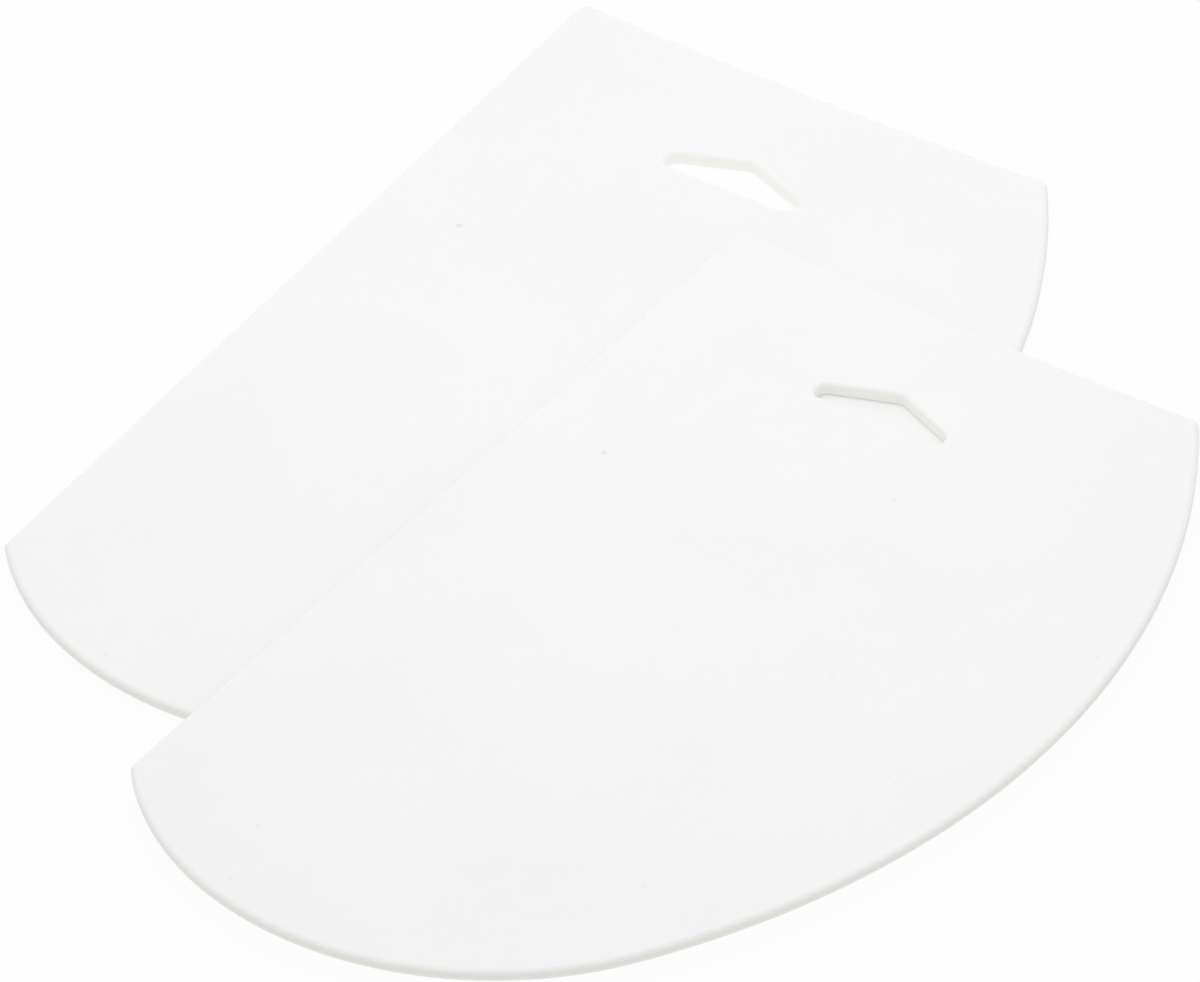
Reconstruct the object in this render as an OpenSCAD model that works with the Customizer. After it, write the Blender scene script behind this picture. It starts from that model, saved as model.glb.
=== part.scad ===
// Pair of flexible bowl scrapers, one lying loose on the other.
// Each is one flat moulding with a full-round rim, a hang hole and a gate mark.
// A scraper's own axes start at its square corner: the short side runs along +X,
// the long side along -Y, and the plate is thickness high along +Z.

/* [Outline] */
// Length of the straight long side, from sharp corner to sharp corner
long_side = 135; // [120:1:150]
// Length of the short side, from sharp corner to sharp corner
short_side = 70; // [62:1:78]
// How far the short side is hollowed at its middle
short_side_hollow = 0.8; // [0.3:0.1:2]
// Radius of the long curved side
side_radius = 117.5; // [108:0.5:130]
// Angle by which the curved side leans outward where it leaves the short side
side_flare = 35.5; // [33:0.5:38]
// Radius of the curved bottom edge
bottom_radius = 45.5; // [42:0.5:50]
// Rounding of the flat face's three corners, which the rim goes round
face_corner_radius = 0.3; // [0.2:0.1:5]

/* [Plate] */
// Thickness of the moulding, and the diameter of its round rim
thickness = 1.8; // [1.4:0.1:3]

/* [Hang hole] */
// Length of the hole, along the short side
hole_length = 19.3; // [17:0.1:24]
// Height of the hole, from its long edge to its blunt point
hole_height = 6.4; // [6:0.1:8]
// Height of the hole's two ends, from its long edge to the top of their rounding
hole_end_height = 3.1; // [3:0.1:3.8]
// Rounding of the hole's five corners
hole_corner_radius = 1.3; // [0.8:0.1:1.4]
// Rounding of the hole's edge at the upper face
hole_upper_edge_radius = 0.5; // [0.1:0.05:0.6]
// Rounding of the hole's edge at the lower face
hole_lower_edge_radius = 0.1; // [0.1:0.05:0.6]
// Distance of the hole's middle from the long side
hole_from_long_side = 36.4; // [30:0.1:42]
// Distance of the hole's blunt point from the straight line of the short side
hole_from_short_side = 17.1; // [12:0.1:24]

/* [Gate mark] */
// Diameter of the stub that the moulding gate left
gate_diameter = 1; // [0.6:0.1:2]
// Height of the stub above the upper face
gate_height = 0.3; // [0.1:0.05:0.5]
// Distance of the stub from the long side
gate_from_long_side = 12.4; // [8:0.1:16]
// Distance of the stub from the straight line of the short side
gate_from_short_side = 48.6; // [44:0.1:54]

/* [How the pair lies] */
// Shift of the upper scraper along the lower one's short side
front_shift_across = 43.9; // [38:0.1:50]
// Shift of the upper scraper along the lower one's long side
front_shift_down = 31.5; // [26:0.1:38]
// Clockwise turn of the upper scraper
front_turn = 1.9; // [0:0.1:4]

/* [Hidden] */
$fn = 48;
white_plastic = [0.96, 0.96, 0.96];
// How far a cutting shape runs past the face that it cuts
overcut = 1;
// How deep the gate stub is rooted in the plate
gate_root = 0.4;
// Steps between the points of the outline's arcs, of the rim's and the hole's, in degrees
side_step = 2;
bottom_step = 3;
hollow_step = 0.5;
corner_step = 15;
rim_step = 15;
hole_step = 15;
edge_step = 30;

// Step of a given length in a given direction
function polar(length, angle) = length * [cos(angle), sin(angle)];

// Direction from one point to another
function heading(from, to) = atan2(to[1] - from[1], to[0] - from[0]);

// Point at reach_a from a and reach_b from b, on the left of the way from a to b
function meet(a, reach_a, b, reach_b) =
    let (span = norm(b - a), along = (reach_a ^ 2 - reach_b ^ 2 + span ^ 2) / (2 * span))
    a + polar(along, heading(a, b)) + polar(sqrt(reach_a ^ 2 - along ^ 2), heading(a, b) + 90);

// The rim is half a round bar along the edge of the flat face
rim = thickness / 2;
corner_radius = face_corner_radius + rim;

// The hollow of the short side is an arc about a centre outside the scraper
hollow_radius = short_side ^ 2 / (8 * short_side_hollow) + short_side_hollow / 2;
hollow_centre = [short_side / 2, hollow_radius - short_side_hollow];

// The curved side starts at the short side's end and runs smoothly into the bottom edge,
// which ends at the foot of the long side
side_centre = [short_side, 0] - polar(side_radius, side_flare);
bottom_centre = meet(side_centre, side_radius - bottom_radius, [0, -long_side], bottom_radius);
blend_angle = heading(side_centre, bottom_centre);

// Centres of the three rounded corners: where both straight sides meet, at the far end of
// the short side, and at the foot of the long side
square_corner = [
    corner_radius,
    hollow_centre[1]
        - sqrt((hollow_radius + corner_radius) ^ 2 - (hollow_centre[0] - corner_radius) ^ 2)
];
far_corner = meet(
    hollow_centre, hollow_radius + corner_radius,
    side_centre, side_radius - corner_radius
);
low_corner = [
    corner_radius,
    bottom_centre[1]
        - sqrt((bottom_radius - corner_radius) ^ 2 - (bottom_centre[0] - corner_radius) ^ 2)
];

// The outline's bulging arcs, each as its centre, radius, first and last direction
side_arc = [side_centre, side_radius, blend_angle, heading(side_centre, far_corner)];
far_arc = [far_corner, corner_radius, side_arc[3], heading(far_corner, hollow_centre)];
square_arc = [square_corner, corner_radius, heading(square_corner, hollow_centre), 180];
low_arc = [low_corner, corner_radius, -180, heading(bottom_centre, low_corner)];
bottom_arc = [bottom_centre, bottom_radius, low_arc[3], blend_angle];

// Points of an arc from its first to its last direction, with both ends, in even steps no
// longer than a given number of degrees
function arc_points(centre, radius, first, last, step) =
    let (count = max(2, ceil(abs(last - first) / step)))
    [for (i = [0 : count]) centre + polar(radius, first + (last - first) * i / count)];

// Points of the flat face's outline, grown by a given amount: along a bulging arc, and along
// the hollow side
function face_arc(arc, grow, step) = arc_points(arc[0], arc[1] - rim + grow, arc[2], arc[3], step);
function hollow_points(grow) = arc_points(
    hollow_centre, hollow_radius + rim - grow, far_arc[3] + 180, square_arc[2] + 180, hollow_step
);

// Points of an arc without its last one, at which the next arc starts
function but_last(points) = [for (i = [0 : len(points) - 2]) points[i]];

// The whole outline of the flat face, grown by a given amount, anticlockwise
function face_outline(grow) = concat(
    but_last(face_arc(side_arc, grow, side_step)),
    but_last(face_arc(far_arc, grow, corner_step)),
    but_last(hollow_points(grow)),
    face_arc(square_arc, grow, corner_step),
    but_last(face_arc(low_arc, grow, corner_step)),
    but_last(face_arc(bottom_arc, grow, bottom_step))
);

// The hole has a long straight edge, two short ends, and two sides that rise from the ends
// to a blunt point. Its five corners go anticlockwise from the right end of the long edge,
// each as its centre, seen from the middle of that edge, and its first and last direction
hole_foot = [hole_from_long_side, -hole_from_short_side - hole_height];
hole_reach = hole_length / 2 - hole_corner_radius;
hole_shoulder = hole_end_height - hole_corner_radius;
hole_peak = hole_height - hole_corner_radius;
hole_slope = heading([hole_reach, hole_shoulder], [0, hole_peak]) - 90;
hole_corners = [
    [[hole_reach, hole_corner_radius], -90, 0],
    [[hole_reach, hole_shoulder], 0, hole_slope],
    [[0, hole_peak], hole_slope, 180 - hole_slope],
    [[-hole_reach, hole_shoulder], 180 - hole_slope, 180],
    [[-hole_reach, hole_corner_radius], 180, 270]
];

// Outline of the hole grown by a given amount: its round corners, joined by straight sides
function hole_outline(grow) = [
    for (corner = hole_corners) each arc_points(
        hole_foot + corner[0], hole_corner_radius + grow, corner[1], corner[2], hole_step
    )
];

// Quarter round of the hole's edge, from the face inward: how far it reaches out, and how
// deep it lies under the face
function edge_profile(radius) =
    [for (angle = [0 : edge_step : 90]) radius * [1 - sin(angle), 1 - cos(angle)]];

// Place of the upper scraper's square corner, in the lower one's axes
front_corner = [front_shift_across, -front_shift_down];
function front_place(point) =
    front_corner + polar(norm(point), heading([0, 0], point) - front_turn);

// Middle of the pair seen from above: the lower scraper reaches furthest left and up,
// and the upper one furthest right and down
pair_right = front_place(side_centre)[0] + side_radius;
pair_low = front_place(bottom_centre)[1] - bottom_radius;
pair_high = max(square_corner[1], far_corner[1]) + corner_radius;
pair_middle = [pair_right / 2, (pair_low + pair_high) / 2];

// Solid between rings of points, each given as its outline and its height, from the lowest up
module skin(rings) {
    count = len(rings[0][0]);
    top = (len(rings) - 1) * count;
    polyhedron(
        points = [for (ring = rings) for (point = ring[0]) [point[0], point[1], ring[1]]],
        faces = concat(
            [[for (i = [0 : count - 1]) i]],
            [[for (i = [count - 1 : -1 : 0]) top + i]],
            [for (k = [0 : len(rings) - 2]) for (i = [0 : count - 1])
                let (here = k * count + i, next = k * count + (i + 1) % count)
                each [[here, here + count, next + count], [here, next + count, next]]]
        )
    );
}

// The plate: the flat face's outline swells out to the rim and back over the thickness
module plate() {
    skin([for (angle = [-90 : rim_step : 90])
        [face_outline(rim * cos(angle)), rim + rim * sin(angle)]]);
}

// The hang hole, with its edges rounded at both faces
module hang_hole() {
    lower = edge_profile(hole_lower_edge_radius);
    upper = edge_profile(hole_upper_edge_radius);
    profile = concat(
        [[hole_lower_edge_radius, -overcut]],
        lower,
        [for (i = [len(upper) - 1 : -1 : 0]) [upper[i][0], thickness - upper[i][1]]],
        [[hole_upper_edge_radius, thickness + overcut]]
    );
    skin([for (level = profile) [hole_outline(level[0]), level[1]]]);
}

// Stub left where the moulding's gate was cut off
module gate_stub() {
    translate([gate_from_long_side, -gate_from_short_side, thickness - gate_root])
        cylinder(d = gate_diameter, h = gate_root + gate_height);
}

// One scraper, in its own axes
module scraper() {
    difference() {
        plate();
        hang_hole();
    }
    gate_stub();
}

// The lower scraper, flat on the surface
module rear_scraper() {
    color(white_plastic) translate(-pair_middle) scraper();
}

// The upper scraper, flat on the lower one
module front_scraper() {
    color(white_plastic)
        translate([front_corner[0] - pair_middle[0], front_corner[1] - pair_middle[1], thickness])
            rotate([0, 0, -front_turn]) scraper();
}

rear_scraper();
front_scraper();
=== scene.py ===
"""Looks of a pair of white plastic bowl scrapers, one lying on the other, on a pale floor."""
from math import atan2, ceil, cos, degrees, pi, radians, sin, sqrt

import bmesh
import bpy
from mathutils import Matrix, Quaternion, Vector


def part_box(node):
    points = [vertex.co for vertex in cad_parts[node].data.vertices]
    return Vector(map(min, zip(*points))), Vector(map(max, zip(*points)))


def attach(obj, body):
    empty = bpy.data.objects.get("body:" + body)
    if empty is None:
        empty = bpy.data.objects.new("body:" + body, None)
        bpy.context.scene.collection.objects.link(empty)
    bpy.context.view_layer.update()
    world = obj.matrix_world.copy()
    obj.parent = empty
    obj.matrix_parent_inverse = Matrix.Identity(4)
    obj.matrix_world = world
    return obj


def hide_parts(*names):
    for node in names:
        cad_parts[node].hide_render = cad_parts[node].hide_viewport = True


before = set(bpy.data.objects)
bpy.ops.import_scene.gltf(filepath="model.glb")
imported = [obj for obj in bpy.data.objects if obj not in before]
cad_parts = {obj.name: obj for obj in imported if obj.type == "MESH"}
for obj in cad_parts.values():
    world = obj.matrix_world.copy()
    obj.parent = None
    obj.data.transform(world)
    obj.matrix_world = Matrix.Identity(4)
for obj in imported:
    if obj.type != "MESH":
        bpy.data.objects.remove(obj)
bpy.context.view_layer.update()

MM = 0.001

# Outline of one scraper, in millimetres from its square corner, as in the construction
LONG_SIDE = 135.0
SHORT_SIDE = 70.0
SHORT_SIDE_HOLLOW = 0.8
SIDE_RADIUS = 117.5
SIDE_FLARE = 35.5
BOTTOM_RADIUS = 45.5
FACE_CORNER_RADIUS = 0.3
THICKNESS = 1.8
HOLE_LENGTH = 19.3
HOLE_HEIGHT = 6.4
HOLE_END_HEIGHT = 3.1
HOLE_CORNER_RADIUS = 1.3
HOLE_UPPER_EDGE_RADIUS = 0.5
HOLE_LOWER_EDGE_RADIUS = 0.1
HOLE_FROM_LONG_SIDE = 36.4
HOLE_FROM_SHORT_SIDE = 17.1
GATE_DIAMETER = 1.0
GATE_HEIGHT = 0.3
GATE_FROM_LONG_SIDE = 12.4
GATE_FROM_SHORT_SIDE = 48.6
FRONT_SHIFT = (43.9, -31.5)
FRONT_TURN = 1.9

# The rim is half a round bar along the edge of the flat face
RIM = THICKNESS / 2

# Longest steps between the points of the outline's arcs, in degrees, and even steps round
# the rim and the hole's edges
SIDE_STEP = 0.5
BOTTOM_STEP = 1
HOLLOW_STEP = 0.25
CORNER_STEP = 6
HOLE_STEP = 6
RIM_STEP = 6
EDGE_STEP = 10

# Rings and sides of the gate stub's mound
GATE_RINGS = 10
GATE_SIDES = 32

# The photograph's view: its scale, height, turn and roll, and the point at its middle. The
# photograph has next to no perspective, so the camera stands as far off as other views allow
PHOTO_WIDTH = 1200
PHOTO_PIXELS_PER_MM = 7.9315
CAMERA_ELEVATION = 37.53
CAMERA_TURN = 32.5
CAMERA_ROLL = 0.25
CAMERA_DISTANCE = 5.6
CAMERA_AIM = (-0.01075, 0.00877, 0.0)

# Dust specks on each scraper's upper face: place in its own axes, and radius, in millimetres
FRONT_SPECKS = [
    (66.7, -118.7, 0.5), (48.1, -35.9, 0.5), (20.2, -136.1, 0.45), (23.8, -147.0, 0.5),
    (61.8, -70.0, 0.45), (80.8, -83.8, 0.45), (87.0, -48.0, 0.4),
]
REAR_SPECKS = [(23.5, -147.5, 0.45)]

# Base colours: the satin faces; the rim that turns away from them, darkened there as painted shade
# and warm like the plastic's edge; and the hole's wall, lighter as painted light for light that
# shines through the plastic, and warm too
FACE_TONES = ((0.905, 0.907, 0.912), (0.925, 0.927, 0.928))
RIM_PAINTED_SHADE_AND_WARMTH = (0.806, 0.781, 0.742)
HOLE_PAINTED_LIGHT_AND_WARMTH = (0.962, 0.957, 0.92)
SPECK_COLOUR = (0.87, 0.87, 0.865)
GATE_COLOUR = (0.865, 0.865, 0.87)
GATE_MARK_RADIUS = 0.75

# The faces' mottling and the fine grain of their satin
MOTTLE_SCALE = 28.0
MOTTLE_RANGE = (0.3, 0.7)
GRAIN_SCALE = 2600.0
GRAIN_ROUGHNESS = (0.38, 0.52)
GRAIN_STRENGTH = 0.06
GRAIN_DEPTH = 0.0001
PLASTIC_IOR = 1.49

# How far a surface leans, as its normal's height, where the edge colour (painted shade on the rim,
# painted light on the hole's wall) starts and is full:
# at the upper face and at the lower one
UPPER_LEAN = (1.0, 0.1)
LOWER_LEAN = (-1.0, -0.9)

# Share of a mark's radius inside which it has its full colour
MARK_CORE = 0.3

# How much light goes under the surface: at the faces and the rim, and in the hole. How deep
# it goes, and how far each colour spreads
FACE_GLOW = 0.3
INNER_GLOW = 0.0
GLOW_DEPTH = 0.0004
GLOW_SPREAD = (1.0, 0.9, 0.75)

# Brightness of the room, and how much brighter it is behind the pair than in front of it
ROOM_STRENGTH = 0.84
ROOM_SLOPE = 0.08

# Softboxes, each as its name, place, size and power, and the point that they are turned to
SOFTBOXES = [
    ("softbox_near", (-0.03, 0.07, 0.29), (0.2, 0.16), 0.16),
    ("softbox_left", (-0.9, -0.2, 0.9), (1.0, 0.8), 0.35),
]
SOFTBOX_TARGET = (-0.02, 0.06, 0)

# The floor reaches this far each way and lies a hair under the pair. It glows, and takes next
# to no shadow
FLOOR_REACH = 3.0
FLOOR_DROP = 0.00002
FLOOR_COLOUR = (0.06, 0.06, 0.06)
FLOOR_GLOW = 0.917

# Sockets of the colour mix node, whose names repeat: factor, both colours and result
MIX_FACTOR, MIX_FROM, MIX_TO, MIX_RESULT = 0, 6, 7, 2


def polar(length, angle):
    """Step of a given length in a given direction, in degrees."""
    return Vector((length * cos(radians(angle)), length * sin(radians(angle))))


def heading(start, end):
    """Direction from one point to another, in degrees."""
    return degrees(atan2(end[1] - start[1], end[0] - start[0]))


def meet(a, reach_a, b, reach_b):
    """Point at reach_a from a and reach_b from b, on the left of the way from a to b."""
    a, b = Vector(a), Vector(b)
    span = (b - a).length
    along = (reach_a ** 2 - reach_b ** 2 + span ** 2) / (2 * span)
    away = sqrt(reach_a ** 2 - along ** 2)
    return a + polar(along, heading(a, b)) + polar(away, heading(a, b) + 90)


def arc_points(centre, radius, first, last, step):
    """Points of an arc in even steps of at most step degrees, with both its ends."""
    count = max(2, ceil(abs(last - first) / step))
    return [centre + polar(radius, first + (last - first) * i / count) for i in range(count + 1)]


def outline_arcs():
    """Arcs of the outline, anticlockwise: centre, face radius, sign of growth, ends and step."""
    corner = FACE_CORNER_RADIUS + RIM
    hollow = SHORT_SIDE ** 2 / (8 * SHORT_SIDE_HOLLOW) + SHORT_SIDE_HOLLOW / 2
    hollow_centre = Vector((SHORT_SIDE / 2, hollow - SHORT_SIDE_HOLLOW))
    side_centre = Vector((SHORT_SIDE, 0)) - polar(SIDE_RADIUS, SIDE_FLARE)
    bottom_centre = meet(side_centre, SIDE_RADIUS - BOTTOM_RADIUS, (0, -LONG_SIDE), BOTTOM_RADIUS)
    blend = heading(side_centre, bottom_centre)
    square_y = hollow_centre.y - sqrt((hollow + corner) ** 2 - (hollow_centre.x - corner) ** 2)
    square = Vector((corner, square_y))
    far = meet(hollow_centre, hollow + corner, side_centre, SIDE_RADIUS - corner)
    low_y = bottom_centre.y - sqrt((BOTTOM_RADIUS - corner) ** 2 - (bottom_centre.x - corner) ** 2)
    low = Vector((corner, low_y))
    side_end = heading(side_centre, far)
    far_end = heading(far, hollow_centre)
    square_start = heading(square, hollow_centre)
    low_end = heading(bottom_centre, low)
    return [
        (side_centre, SIDE_RADIUS - RIM, 1, blend, side_end, SIDE_STEP),
        (far, FACE_CORNER_RADIUS, 1, side_end, far_end, CORNER_STEP),
        (hollow_centre, hollow + RIM, -1, far_end + 180, square_start + 180, HOLLOW_STEP),
        (square, FACE_CORNER_RADIUS, 1, square_start, 180, CORNER_STEP),
        (low, FACE_CORNER_RADIUS, 1, -180, low_end, CORNER_STEP),
        (bottom_centre, BOTTOM_RADIUS - RIM, 1, low_end, blend, BOTTOM_STEP),
    ]


def face_outline(grow):
    """The flat face's outline grown by a given amount, with no point repeated."""
    points = []
    for centre, radius, sign, first, last, step in outline_arcs():
        arc = arc_points(centre, radius + sign * grow, first, last, step)
        # An arc's last point is the next one's first, but where the straight side starts
        points += arc if last == 180 else arc[:-1]
    return points


def hole_outline(grow):
    """The hole's outline grown by a given amount: its five round corners, anticlockwise."""
    foot = Vector((HOLE_FROM_LONG_SIDE, -HOLE_FROM_SHORT_SIDE - HOLE_HEIGHT))
    radius = HOLE_CORNER_RADIUS
    reach = HOLE_LENGTH / 2 - radius
    shoulder, peak = HOLE_END_HEIGHT - radius, HOLE_HEIGHT - radius
    slope = heading((reach, shoulder), (0, peak)) - 90
    corners = [
        ((reach, radius), -90, 0),
        ((reach, shoulder), 0, slope),
        ((0, peak), slope, 180 - slope),
        ((-reach, shoulder), 180 - slope, 180),
        ((-reach, radius), 180, 270),
    ]
    points = []
    for place, first, last in corners:
        points += arc_points(foot + Vector(place), radius + grow, first, last, HOLE_STEP)
    return points


def edge_profile(radius):
    """Quarter round of an edge at the lower face: how far it reaches out, and its height."""
    turns = [radians(angle) for angle in range(0, 91, EDGE_STEP)]
    return [(radius * (1 - sin(a)), radius * (1 - cos(a))) for a in turns]


def add_rings(mesh, rings):
    """Adds rings of points joined by quads, and returns the first and last ring's edges."""
    rows = [[mesh.verts.new((x * MM, y * MM, z * MM)) for x, y in ring] for ring, z in rings]
    count = len(rows[0])
    for low, high in zip(rows, rows[1:]):
        for i in range(count):
            j = (i + 1) % count
            mesh.faces.new((low[i], low[j], high[j], high[i]))
    ends = []
    for row in (rows[0], rows[-1]):
        ends.append([mesh.edges.get((row[i], row[(i + 1) % count])) for i in range(count)])
    return ends


def add_gate(mesh):
    """Adds the stub left by the moulding's gate, a low mound, and returns its foot's edges."""
    centre = Vector((GATE_FROM_LONG_SIDE, -GATE_FROM_SHORT_SIDE))
    rings = []
    for i in range(GATE_RINGS):
        radius = GATE_DIAMETER / 2 * (1 - i / GATE_RINGS)
        height = THICKNESS + GATE_HEIGHT * (1 - cos(pi * i / GATE_RINGS)) / 2
        ring = [centre + polar(radius, 360 * k / GATE_SIDES) for k in range(GATE_SIDES)]
        rings.append((ring, height))
    foot, top = add_rings(mesh, rings)
    bmesh.ops.holes_fill(mesh, edges=top)
    return foot


def scraper_mesh(name):
    """One scraper's moulding: full-round rim, flat faces, hole with round edges, gate stub."""
    mesh = bmesh.new()
    turns = [radians(angle) for angle in range(-90, 91, RIM_STEP)]
    rim = [(face_outline(RIM * cos(a)), RIM + RIM * sin(a)) for a in turns]
    rim_low, rim_high = add_rings(mesh, rim)
    lower = edge_profile(HOLE_LOWER_EDGE_RADIUS)
    upper = [(grow, THICKNESS - z) for grow, z in reversed(edge_profile(HOLE_UPPER_EDGE_RADIUS))]
    # The hole and the gate stub are of the inner material
    before = len(mesh.faces)
    hole_low, hole_high = add_rings(mesh, [(hole_outline(grow), z) for grow, z in lower + upper])
    gate_foot = add_gate(mesh)
    mesh.faces.ensure_lookup_table()
    for face in mesh.faces[before:]:
        face.material_index = 1
    for loops in (rim_low + hole_low, rim_high + hole_high + gate_foot):
        bmesh.ops.triangle_fill(mesh, use_beauty=True, edges=loops)
    bmesh.ops.recalc_face_normals(mesh, faces=mesh.faces)
    data = bpy.data.meshes.new(name)
    mesh.to_mesh(data)
    mesh.free()
    for face in data.polygons:
        face.use_smooth = True
    return data


def new_material(name):
    """Node material with its Principled shader and a helper that adds nodes."""
    material = bpy.data.materials.new(name)
    material.use_nodes = True
    tree = material.node_tree
    shader = tree.nodes["Principled BSDF"]

    def add(kind, **values):
        node = tree.nodes.new(kind)
        for key, value in values.items():
            if key in node.inputs:
                node.inputs[key].default_value = value
            else:
                setattr(node, key, value)
        return node

    return material, tree, shader, add


def white_plastic(name, edge_painted_shading, glow, marks):
    """Satin white polypropylene: faint mottling, fine grain, edges tinted with painted shading
    (painted shade on the rim, painted light on the hole's wall), and small marks.
    """
    material, tree, shader, add = new_material(name)
    link = tree.links.new
    where = add("ShaderNodeTexCoord")
    mottle = add("ShaderNodeTexNoise", Scale=MOTTLE_SCALE, Detail=3.0, Roughness=0.55)
    link(where.outputs["Object"], mottle.inputs["Vector"])
    tone = add("ShaderNodeValToRGB")
    for stop, position, colour in zip(tone.color_ramp.elements, MOTTLE_RANGE, FACE_TONES):
        stop.position = position
        stop.color = (*colour, 1)
    link(mottle.outputs["Fac"], tone.inputs["Fac"])
    # The edges that lean away from the faces take painted shading: painted shade on the rim,
    # painted light on the hole's wall
    colour = tinted(tree, add, tone.outputs["Color"], painted_edge_shading_mask(tree, add, where), edge_painted_shading)
    for place, radius, mark_colour in marks:
        mask = mark_mask(tree, add, where, place, radius)
        colour = tinted(tree, add, colour, mask, mark_colour)
    link(colour, shader.inputs["Base Color"])
    grain = add("ShaderNodeTexNoise", Scale=GRAIN_SCALE, Detail=2.0, Roughness=0.5)
    link(where.outputs["Object"], grain.inputs["Vector"])
    rough = add("ShaderNodeMapRange")
    rough.inputs["To Min"].default_value, rough.inputs["To Max"].default_value = GRAIN_ROUGHNESS
    link(grain.outputs["Fac"], rough.inputs["Value"])
    link(rough.outputs["Result"], shader.inputs["Roughness"])
    bump = add("ShaderNodeBump", Strength=GRAIN_STRENGTH, Distance=GRAIN_DEPTH)
    link(grain.outputs["Fac"], bump.inputs["Height"])
    link(bump.outputs["Normal"], shader.inputs["Normal"])
    shader.inputs["IOR"].default_value = PLASTIC_IOR
    shader.inputs["Subsurface Weight"].default_value = glow
    shader.inputs["Subsurface Scale"].default_value = GLOW_DEPTH
    shader.inputs["Subsurface Radius"].default_value = GLOW_SPREAD
    return material


def tinted(tree, add, colour, mask, tint):
    """Colour that turns into a tint where the mask is one."""
    mix = add("ShaderNodeMix", data_type="RGBA")
    mix.inputs[MIX_TO].default_value = (*tint, 1)
    tree.links.new(mask, mix.inputs[MIX_FACTOR])
    tree.links.new(colour, mix.inputs[MIX_FROM])
    return mix.outputs[MIX_RESULT]


def ramp_between(tree, add, value, start, end):
    """Nought at one value and one at another, with a soft start and end."""
    ramp = add("ShaderNodeMapRange", interpolation_type="SMOOTHSTEP")
    ramp.inputs["From Min"].default_value = start
    ramp.inputs["From Max"].default_value = end
    tree.links.new(value, ramp.inputs["Value"])
    return ramp.outputs["Result"]


def painted_edge_shading_mask(tree, add, where):
    """One on surfaces that lean away from the flat faces, where the edges' painted shading goes,
    and nought on the faces.
    """
    parts = add("ShaderNodeSeparateXYZ")
    tree.links.new(where.outputs["Normal"], parts.inputs["Vector"])
    height = parts.outputs["Z"]
    both = add("ShaderNodeMath", operation="MULTIPLY")
    tree.links.new(ramp_between(tree, add, height, *UPPER_LEAN), both.inputs[0])
    tree.links.new(ramp_between(tree, add, height, *LOWER_LEAN), both.inputs[1])
    return both.outputs["Value"]


def mark_mask(tree, add, where, place, radius):
    """One in the middle of a mark and nought outside it."""
    away = add("ShaderNodeVectorMath", operation="DISTANCE")
    away.inputs[1].default_value = place
    tree.links.new(where.outputs["Object"], away.inputs[0])
    return ramp_between(tree, add, away.outputs["Value"], radius, MARK_CORE * radius)


def add_scraper(node, place, specks):
    """Puts one scraper where its solid is, and has it stand for that solid."""
    data = scraper_mesh(node + "_moulding")
    data.transform(place)
    piece = bpy.data.objects.new(node + "_moulding", data)
    bpy.context.scene.collection.objects.link(piece)
    spots = [(GATE_FROM_LONG_SIDE, -GATE_FROM_SHORT_SIDE, GATE_MARK_RADIUS, GATE_COLOUR)]
    spots += [(x, y, size, SPECK_COLOUR) for x, y, size in specks]
    marks = []
    for x, y, size, colour in spots:
        marks.append((place @ Vector((x * MM, y * MM, THICKNESS * MM)), size * MM, colour))
    # The specks lie on the outer face, and the gate's mark is on the stub as well
    # The outer plastic's rim is darkened as painted shade, and warm like the plastic's edge
    outer = white_plastic(node + "_plastic", RIM_PAINTED_SHADE_AND_WARMTH, FACE_GLOW, marks)
    # The inner plastic's hole wall is lightened as painted light, in place of light that shines
    # through the plastic
    inner = white_plastic(node + "_inner_plastic", HOLE_PAINTED_LIGHT_AND_WARMTH, INNER_GLOW, marks[:1])
    piece.data.materials.append(outer)
    piece.data.materials.append(inner)
    weighted = piece.modifiers.new("face_weighted_normals", "WEIGHTED_NORMAL")
    weighted.mode = "FACE_AREA"
    weighted.weight = 100
    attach(piece, node)
    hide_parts(node)


def build_scrapers():
    """Both scrapers, placed by the left and upper sides of the rear solid's box."""
    # The outline's highest point is a little lower than the sharp square corner
    drop = -max(point.y for point in face_outline(RIM))
    low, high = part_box("rear_scraper")
    rear = Matrix.Translation((low[0], high[1] + drop * MM, low[2]))
    shift = Matrix.Translation((FRONT_SHIFT[0] * MM, FRONT_SHIFT[1] * MM, THICKNESS * MM))
    turn = Matrix.Rotation(radians(-FRONT_TURN), 4, "Z")
    add_scraper("rear_scraper", rear, REAR_SPECKS)
    add_scraper("front_scraper", rear @ shift @ turn, FRONT_SPECKS)


def build_floor():
    """Plain pale floor, wide enough for any view."""
    half = FLOOR_REACH
    mesh = bpy.data.meshes.new("floor")
    corners = [(-half, -half, 0), (half, -half, 0), (half, half, 0), (-half, half, 0)]
    mesh.from_pydata(corners, [], [(0, 1, 2, 3)])
    floor = bpy.data.objects.new("floor", mesh)
    floor.location.z = -FLOOR_DROP
    bpy.context.scene.collection.objects.link(floor)
    material, _, shader, _ = new_material("pale_floor")
    shader.inputs["Base Color"].default_value = (*FLOOR_COLOUR, 1)
    shader.inputs["Roughness"].default_value = 0.9
    shader.inputs["Specular IOR Level"].default_value = 0.1
    shader.inputs["Emission Color"].default_value = (1, 1, 1, 1)
    shader.inputs["Emission Strength"].default_value = FLOOR_GLOW
    mesh.materials.append(material)


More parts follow.
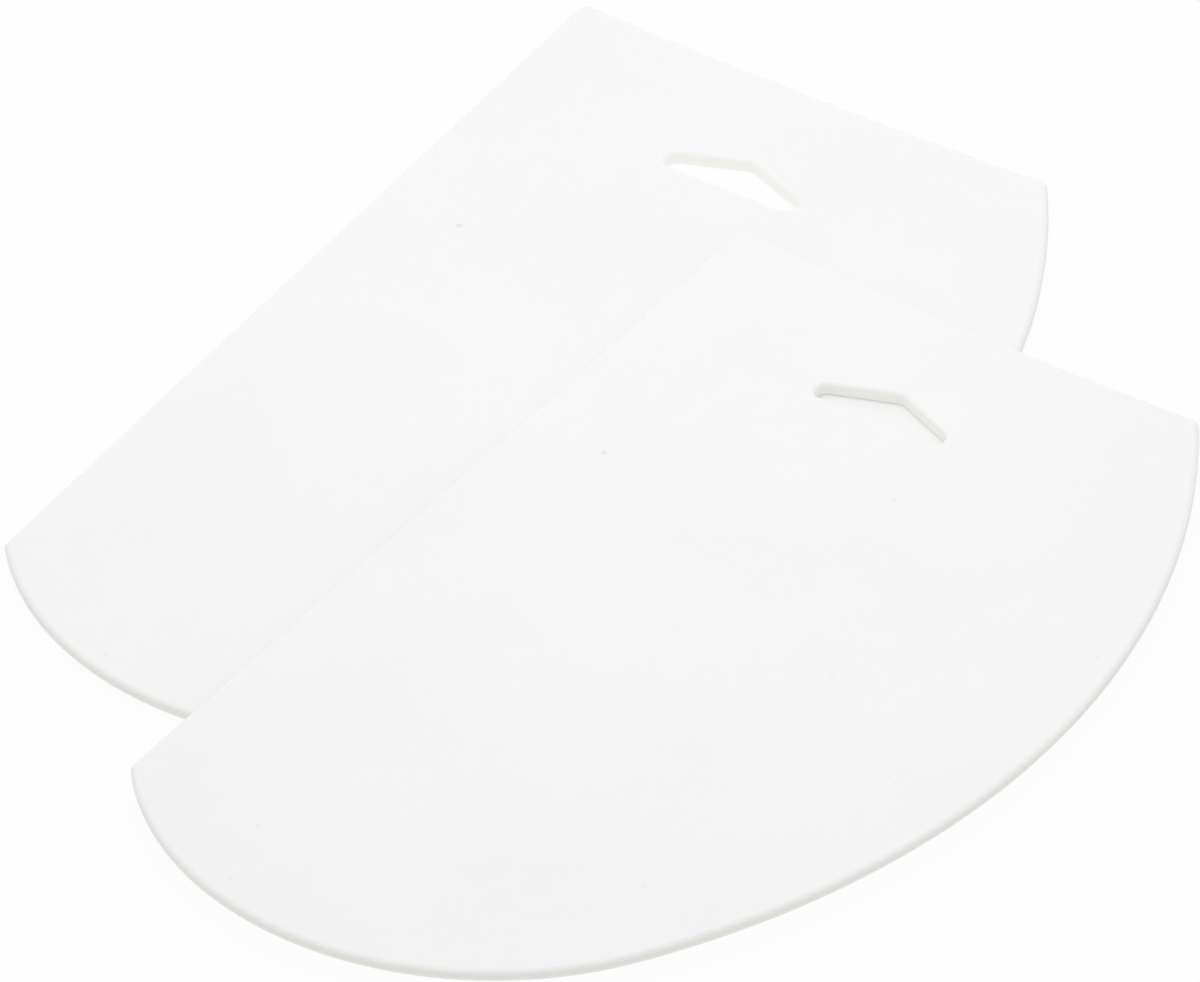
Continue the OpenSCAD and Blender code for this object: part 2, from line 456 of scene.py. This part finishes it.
def build_light():
    """Even studio light: a bright room, a small softbox over the pair and a large one aside."""
    world = bpy.data.worlds.new("studio")
    bpy.context.scene.world = world
    world.use_nodes = True
    nodes = world.node_tree.nodes
    link = world.node_tree.links.new
    background = nodes["Background"]
    background.inputs["Color"].default_value = (1, 1, 1, 1)
    behind = nodes.new("ShaderNodeVectorMath")
    behind.operation = "DOT_PRODUCT"
    behind.inputs[1].default_value = (-sin(radians(CAMERA_TURN)), cos(radians(CAMERA_TURN)), 0)
    link(nodes.new("ShaderNodeTexCoord").outputs["Generated"], behind.inputs[0])
    strength = nodes.new("ShaderNodeMapRange")
    strength.inputs["From Min"].default_value = -1
    strength.inputs["To Min"].default_value = ROOM_STRENGTH * (1 - ROOM_SLOPE)
    strength.inputs["To Max"].default_value = ROOM_STRENGTH * (1 + ROOM_SLOPE)
    link(behind.outputs["Value"], strength.inputs["Value"])
    link(strength.outputs["Result"], background.inputs["Strength"])
    for softbox in SOFTBOXES:
        add_softbox(*softbox)


def add_softbox(name, place, size, power):
    """Rectangular softbox at a place, turned towards the object."""
    lamp = bpy.data.lights.new(name, "AREA")
    lamp.shape = "RECTANGLE"
    lamp.size, lamp.size_y = size
    lamp.energy = power
    box = bpy.data.objects.new(name, lamp)
    box.location = place
    aim = Vector(SOFTBOX_TARGET) - box.location
    box.rotation_euler = aim.to_track_quat("-Z", "Y").to_euler()
    bpy.context.scene.collection.objects.link(box)


def build_camera():
    """Camera at the photograph's angle, with a long lens."""
    turn, rise = radians(CAMERA_TURN), radians(CAMERA_ELEVATION)
    look = Vector((-sin(turn) * cos(rise), cos(turn) * cos(rise), -sin(rise)))
    data = bpy.data.cameras.new("camera")
    data.lens = PHOTO_PIXELS_PER_MM * CAMERA_DISTANCE / MM * data.sensor_width / PHOTO_WIDTH
    data.clip_start = 1.0
    data.clip_end = 2 * CAMERA_DISTANCE
    camera = bpy.data.objects.new("camera", data)
    camera.location = Vector(CAMERA_AIM) - look * CAMERA_DISTANCE
    roll = Quaternion((0, 0, 1), radians(CAMERA_ROLL))
    camera.rotation_euler = (look.to_track_quat("-Z", "Y") @ roll).to_euler()
    bpy.context.scene.collection.objects.link(camera)
    bpy.context.scene.camera = camera


build_camera()
build_light()
build_floor()
build_scrapers()
scene = bpy.context.scene
scene.view_settings.view_transform = "Standard"
scene.view_settings.look = "None"
